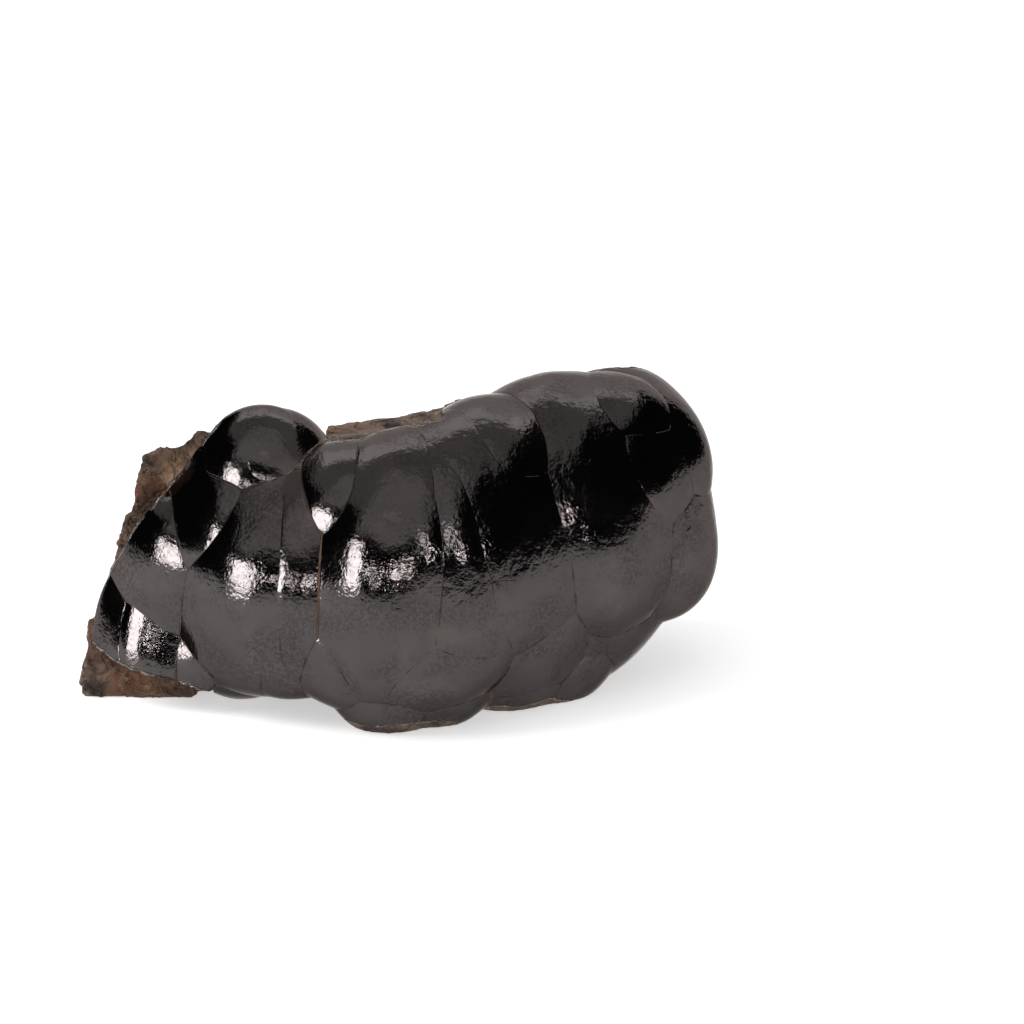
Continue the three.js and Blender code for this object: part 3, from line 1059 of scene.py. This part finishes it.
@dataclass
class Specimen:
    """The stone, as one mesh."""

    form: Form
    finish: StoneFinish
    pitch: float = 0.46  # mm between the places where the form is sampled
    open_reach: float = 2.2  # mm out from the surface where a hollow is felt
    name: str = "goethite_stone"

    def build(self) -> None:
        """Makes the mesh in the solid's frame."""
        self.skin = Skin(self.form, self.pitch)
        self.skin.build()
        mesh = bpy.data.meshes.new(self.name)
        points, faces = (self.skin.points + CENTRE) * MM, self.skin.faces
        mesh.vertices.add(len(points))
        mesh.vertices.foreach_set("co", points.ravel())
        mesh.loops.add(faces.size)
        mesh.loops.foreach_set("vertex_index", faces.ravel())
        mesh.polygons.add(len(faces))
        mesh.polygons.foreach_set("loop_start", np.arange(0, faces.size, 3))
        mesh.update(calc_edges=True)
        mesh.polygons.foreach_set("use_smooth", np.ones(len(faces), bool))
        self.store(mesh)
        mesh.normals_split_custom_set(self.facings().tolist())
        self.piece = bpy.data.objects.new(self.name, mesh)
        bpy.context.scene.collection.objects.link(self.piece)
        log.info("%s: %d vertices, %d triangles", self.name, len(points), len(faces))

    def facings(self) -> Array:
        """The normal at each corner: of its own lobe on the crust, and of the faces elsewhere.

        Returns:
            One direction per corner of each face, in order.
        """
        points, faces, owners = self.skin.points, self.skin.faces, self.skin.owners
        corner = faces.ravel()
        owner = np.repeat(owners, 3)
        crust = owner >= 0
        keys, which = np.unique(corner[crust] * len(LOBES) + owner[crust], return_inverse=True)
        at, lobe = points[keys // len(LOBES)], keys % len(LOBES)
        slopes = []
        for start in range(0, len(at), self.form.BATCH):
            part = slice(start, start + self.form.BATCH)
            slopes.append(self.form.slope(at[part], partial(self.form.side, owners=lobe[part])))
        first, second, third = (points[faces[:, k]] for k in range(3))
        flat = np.cross(second - first, third - first)
        rocky = np.flatnonzero(owners == BROKEN)
        mean = np.zeros_like(points)
        for side in range(3):
            for axis in range(3):
                weights = flat[rocky, axis]
                mean[:, axis] += np.bincount(faces[rocky, side], weights, len(points))
        normals = unit(mean)[corner]
        normals[crust] = unit(np.concatenate(slopes))[which]
        return normals

    def store(self, mesh: bpy.types.Mesh) -> None:
        """Stores on the mesh what the finish needs.

        Args:
            mesh: the stone's mesh.
        """
        points, faces, owners = self.skin.points, self.skin.faces, self.skin.owners
        nearest = self.form.lobes(points).argmin(axis=0)
        seam, sharp = self.form.seams(points)
        on_crust = np.isin(np.arange(len(points)), faces[owners >= 0])
        middles = np.array([lobe.middle for lobe in LOBES])
        out = unit(self.form.slope(points, self.form.value, 0.5))
        ahead = self.form.value(points + self.open_reach * out)
        per_point = {
            Stored.SEAM: np.where(on_crust, np.minimum(seam, 9.0), 9.0),
            Stored.SHARP: sharp,
            Stored.HOLLOW: np.clip(1 - ahead / self.open_reach, 0, 1),
            Stored.DEPTH: -self.form.batches(points, lambda p: self.form.crust(p, self.form.lobes(p))),
            Stored.EDGE: self.form.margin(points),
        }
        for name, value in per_point.items():
            mesh.attributes.new(name.value, "FLOAT", "POINT").data.foreach_set("value", value)
        crust = mesh.attributes.new(Stored.CRUST.value, "FLOAT", "CORNER")
        crust.data.foreach_set("value", np.repeat(owners >= 0, 3).astype(float))
        fibre = unit(points - middles[nearest])
        grown = mesh.attributes.new(Stored.FIBRE.value, "FLOAT_VECTOR", "POINT")
        grown.data.foreach_set("vector", fibre.ravel())

    def dress(self) -> None:
        """Gives the stone its finish and its place in the solid's frame."""
        self.piece.data.materials.append(self.finish.make())
        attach(self.piece, "root")
        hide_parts("goethite")


@dataclass(frozen=True)
class Floor:
    """A plain pale floor at the height of the stone's foot."""

    finish: FloorFinish
    half: float = 6.0  # metres from its middle to its sides

    def build(self) -> None:
        """Makes the floor, which isn't part of the object."""
        mesh = bpy.data.meshes.new("floor")
        corners = ((-1, -1), (1, -1), (1, 1), (-1, 1))
        mesh.from_pydata([(x * self.half, y * self.half, 0.0) for x, y in corners], [], [range(4)])
        mesh.materials.append(self.finish.make())
        piece = bpy.data.objects.new("floor", mesh)
        bpy.context.scene.collection.objects.link(piece)
        log.info("floor: %.0f m wide", 2 * self.half)


@dataclass(frozen=True)
class Softbox:
    """A square soft lamp that shines but isn't mirrored, placed by direction and distance."""

    name: str
    azimuth: float  # degrees to the right of the stone's front
    height: float  # degrees above the floor
    distance: float  # metres
    side: float  # metres
    power: float  # watts

    def build(self) -> None:
        """Makes the lamp, aimed at the stone."""
        turn, up = math.radians(self.azimuth), math.radians(self.height)
        way = Vector((math.sin(turn) * math.cos(up), -math.cos(turn) * math.cos(up), math.sin(up)))
        lamp = bpy.data.lights.new(self.name, "AREA")
        lamp.shape = "SQUARE"
        lamp.size = self.side
        lamp.energy = self.power
        piece = bpy.data.objects.new(self.name, lamp)
        piece.location = way * self.distance
        piece.rotation_mode = "QUATERNION"
        piece.rotation_quaternion = way.to_track_quat("Z", "Y")
        piece.visible_glossy = False
        piece.visible_camera = False
        bpy.context.scene.collection.objects.link(piece)
        log.info("%s: %.1f W", self.name, self.power)


@dataclass(frozen=True)
class Panel:
    """A bright part of the room, mirrored in the polish."""

    name: str
    glow: float
    azimuths: tuple[float, float]  # degrees to the right of the stone's front
    heights: tuple[float, float]  # degrees above the floor
    edges: tuple[Triple, ...] = ()  # straight sides: each the direction that faces inward
    soft: float = 2.0  # degrees over which its edges fade

    def share(self, tree: Tree, way: Wire, azimuth: Wire, height: Wire) -> Wire:
        """How much of the panel is seen along a direction.

        Args:
            tree: where the nodes go.
            way: the direction.
            azimuth: its azimuth in degrees.
            height: its height in degrees.

        Returns:
            A share, from 0 to 1.
        """
        inside = tree.band(azimuth, self.azimuths, self.soft)
        inside = inside * tree.band(height, self.heights, self.soft)
        for edge in self.edges:
            inside = inside * tree.step(tree.dot(way, edge), 0.0, 0.06)
        return inside


# straight sides of the ceiling: each the direction that faces inward
LEFT_SIDE: Triple = (1.0, -0.7, 1.56)
FAR_LEFT_SIDE: Triple = (1.0, 0.0, 0.85)
RIGHT_SIDE: Triple = (-1.0, 0.0, 0.85)
REAR: Triple = (0.0, 1.0, -0.3)


@dataclass(frozen=True)
class Studio:
    """The room round the stone: pale to look at, dark with a few bright panels in the polish."""

    backdrop: float = 1.0  # what the camera sees behind the floor
    fill: float = 0.52  # what lights all that isn't polished
    dark: float = 0.02  # what the polish mirrors where there is no panel
    panels: tuple[Panel, ...] = (
        Panel("low ceiling", 0.9, (-64, 37), (25, 55)),
        Panel("ceiling", 0.5, (-181, 181), (36, 100), (RIGHT_SIDE, LEFT_SIDE)),
        Panel("front of the ceiling", 0.84, (-64, 40), (36, 78)),
        Panel("ceiling behind", 2.0, (-181, 181), (20, 100), (RIGHT_SIDE, FAR_LEFT_SIDE, REAR)),
        Panel("wall behind, left", 1.5, (-181, -155), (-10, 45)),
        Panel("wall behind, right", 1.5, (138, 181), (-10, 60)),
        Panel("pale patch", 1.2, (-28, -4), (38, 48)),
        Panel("ledge", 1.8, (50, 112), (-1, 2.4)),
        Panel("tall lamp", 16.0, (-64, -44), (-1, 19)),
        Panel("small lamp", 7.0, (20, 30), (18, 28)),
    )
    # small lamps: azimuth, height and half width in degrees
    sparks: tuple[Triple, ...] = (
        (-34.5, 10.5, 1.6), (-29, 12, 1.2), (-18.5, 11, 1.5), (-6, 10, 1.9), (-1, 10, 2.0),
        (11, 10.5, 2.2), (33, 13.5, 2.2), (-25, 7, 1.0), (-44, 13, 1.3), (4, 11, 1.2),
    )
    spark_light: float = 45.0

    def build(self) -> None:
        """Makes the world."""
        world = bpy.data.worlds.new("studio")
        bpy.context.scene.world = world
        if hasattr(world, "cycles"):
            world.cycles.sampling_method = "NONE"
        tree = Tree(world)
        way = tree.node("TexCoord", output="Generated")
        split = [tree.node("SeparateXYZ", {}, {0: way}, output=k) for k in range(3)]
        height = tree.maths("ARCSINE", split[2]) * math.degrees(1)
        azimuth = tree.maths("ARCTAN2", split[0], split[1] * -1.0) * math.degrees(1)
        light: Wire | float = self.dark
        for panel in self.panels:
            light = light + panel.share(tree, way, azimuth, height) * (panel.glow - light)
        for turn, up, size in self.sparks:
            aside = (azimuth - turn) * math.cos(math.radians(up))
            above = height - up
            far = tree.maths("SQRT", aside * aside + above * above)
            light = light + (1 - tree.step(far, 0.6 * size, size)) * self.spark_light
        mirrored = tree.node("LightPath", output="Is Glossy Ray")
        looked_at = tree.node("LightPath", output="Is Camera Ray")
        glow = mirrored * light + (1 - mirrored) * self.fill
        glow = looked_at * self.backdrop + (1 - looked_at) * glow
        shine = tree.node("Background", {}, {"Color": (1.0, 1.0, 1.0, 1.0), "Strength": glow})
        tree.node("OutputWorld", {}, {"Surface": shine})
        log.info("studio: %d panels, %d sparks", len(self.panels), len(self.sparks))


@dataclass(frozen=True)
class Viewpoint:
    """The camera, level side to side and looking down on the stone."""

    elevation: float = 20.0  # degrees
    distance: float = 0.7  # metres to the plane through the stone
    scale: float = 7.078  # pixels per mm in that plane
    width: int = 1024  # pixels
    origin: tuple[float, float] = (397.5, 694.4)  # pixel at which the middle of the form's foot shows
    sensor: float = 36.0  # mm

    def build(self) -> None:
        """Makes the camera and looks through it."""
        tilt = math.radians(self.elevation)
        ahead = Vector((0, math.cos(tilt), -math.sin(tilt)))
        up = Vector((0, math.sin(tilt), math.cos(tilt)))
        aside, above = (self.width / 2 - pixel for pixel in self.origin)
        aim = (Vector((1, 0, 0)) * aside - up * above) * (MM / self.scale)
        camera = bpy.data.cameras.new("camera")
        camera.sensor_width = self.sensor
        camera.lens = self.sensor * self.distance / (self.width / self.scale * MM)
        camera.clip_start, camera.clip_end = 0.01, 30.0
        piece = bpy.data.objects.new("camera", camera)
        piece.location = Vector(CENTRE * MM) + aim - ahead * self.distance
        piece.rotation_euler = (math.pi / 2 - tilt, 0, 0)
        bpy.context.scene.collection.objects.link(piece)
        bpy.context.scene.camera = piece
        log.info("camera: %.0f mm lens", camera.lens)


def main() -> None:
    """Builds the stone, the floor, the lights and the camera, in order."""
    logging.basicConfig(level=logging.INFO, format="%(name)s: %(message)s")
    bpy.context.scene.view_settings.view_transform = "Standard"
    pitch = Specimen.pitch
    specimen = Specimen(Form(), StoneFinish(), pitch)
    specimen.build()
    specimen.dress()
    Floor(FloorFinish()).build()
    for lamp in (
        Softbox("overhead softbox", -20, 78, 1.5, 1.2, 4.5),
        Softbox("left softbox", -75, 45, 0.4, 0.2, 0.8),
    ):
        lamp.build()
    Studio().build()
    Viewpoint().build()


if __name__ == "__main__":
    main()
